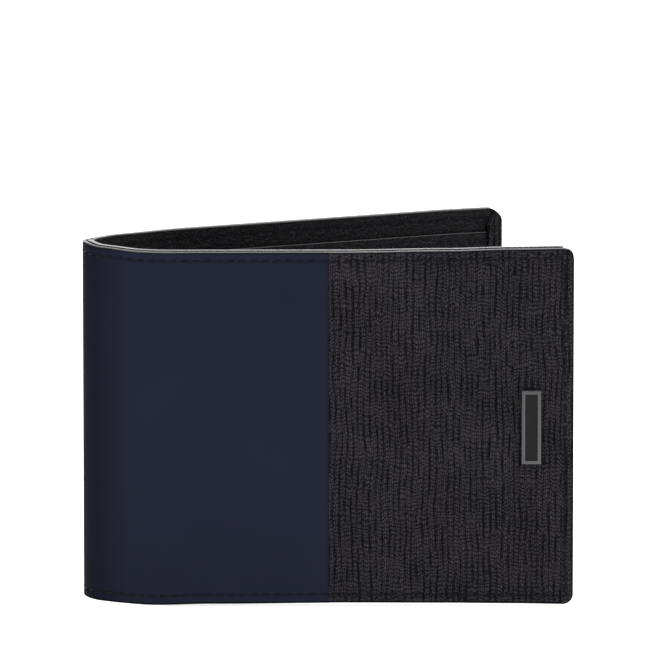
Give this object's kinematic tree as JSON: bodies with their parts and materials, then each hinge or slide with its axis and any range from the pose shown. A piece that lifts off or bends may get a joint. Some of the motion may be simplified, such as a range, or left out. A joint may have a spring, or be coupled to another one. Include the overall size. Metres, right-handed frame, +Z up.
{
  "type": "bifold wallet",
  "caption": "Slim two-leaf leather billfold standing slightly open on its long edge, with a curved navy spine, embossed end panels, card pockets, a bill compartment and a metal nameplate.",
  "frame": {"origin": "under the middle of the standing wallet's box, on the surface that it stands on", "axes": "+Z up along the short edges of the leaves, +X from the fold to the front leaf's free end, +Y from the front cover through the wallet to the back leaf"},
  "size_m": [0.1152, 0.0732, 0.084],
  "materials": {
    "navy_leather": "smooth satin calf, dyed dark navy",
    "embossed_leather": "black, pressed with fine irregular upright grooves, semi-gloss on the ridges",
    "lining_cloth": "matt black fine twill lining",
    "inner_leather": "matt black fine-grained leather",
    "stiffener_board": "bonded fibre board",
    "gunmetal": "gunmetal plate, satin with bright bevels",
    "thread": "dark navy twisted polyester sewing thread"
  },
  "bodies": {
    "front_leaf": {"front_end_panel": "embossed_leather", "front_navy_panel": "navy_leather", "front_stiffener": "stiffener_board", "front_lining": "lining_cloth", "front_bill_wall": "inner_leather", "front_slip_panel": "inner_leather", "front_card_pocket_1": "inner_leather", "front_card_pocket_2": "inner_leather", "front_card_pocket_3": "inner_leather", "nameplate": "gunmetal", "nameplate_backing": "gunmetal"},
    "front_fold": {"front_fold_leather": "navy_leather", "front_fold_lining": "lining_cloth", "front_fold_bill_wall": "inner_leather"},
    "spine": {"spine_leather": "navy_leather", "spine_lining": "lining_cloth", "spine_bill_wall": "inner_leather"},
    "back_fold": {"back_fold_leather": "navy_leather", "back_fold_lining": "lining_cloth", "back_fold_bill_wall": "inner_leather"},
    "back_leaf": {"back_end_panel": "embossed_leather", "back_navy_panel": "navy_leather", "back_stiffener": "stiffener_board", "back_lining": "lining_cloth", "back_bill_wall": "inner_leather", "back_slip_panel": "inner_leather", "back_card_pocket_1": "inner_leather", "back_card_pocket_2": "inner_leather", "back_card_pocket_3": "inner_leather"}
  },
  "joints": [
    {"name": "front_flank_bend", "type": "hinge", "parent": "front_leaf", "child": "front_fold", "pos_m": [-0.04058, -0.03383, 0.042], "axis": [0, 0, 1], "range_deg": [-7.05, 33.05]},
    {"name": "front_core_bend", "type": "hinge", "parent": "front_fold", "child": "spine", "pos_m": [-0.05634, -0.02482, 0.042], "axis": [0, 0, 1], "range_deg": [-9.6, 45.05]},
    {"name": "back_core_bend", "type": "hinge", "parent": "spine", "child": "back_fold", "pos_m": [-0.05764, -0.01868, 0.042], "axis": [0, 0, 1], "range_deg": [-9.6, 45.05]},
    {"name": "leaf_fold", "type": "hinge", "parent": "back_fold", "child": "back_leaf", "pos_m": [-0.04691, -0.00404, 0.042], "axis": [0, 0, 1], "range_deg": [-7, 33]}
  ],
  "couplings": [
    {"joint": "front_flank_bend", "follows": "leaf_fold", "ratio": 1},
    {"joint": "front_core_bend", "follows": "leaf_fold", "ratio": 1.3636},
    {"joint": "back_core_bend", "follows": "leaf_fold", "ratio": 1.3636}
  ]
}
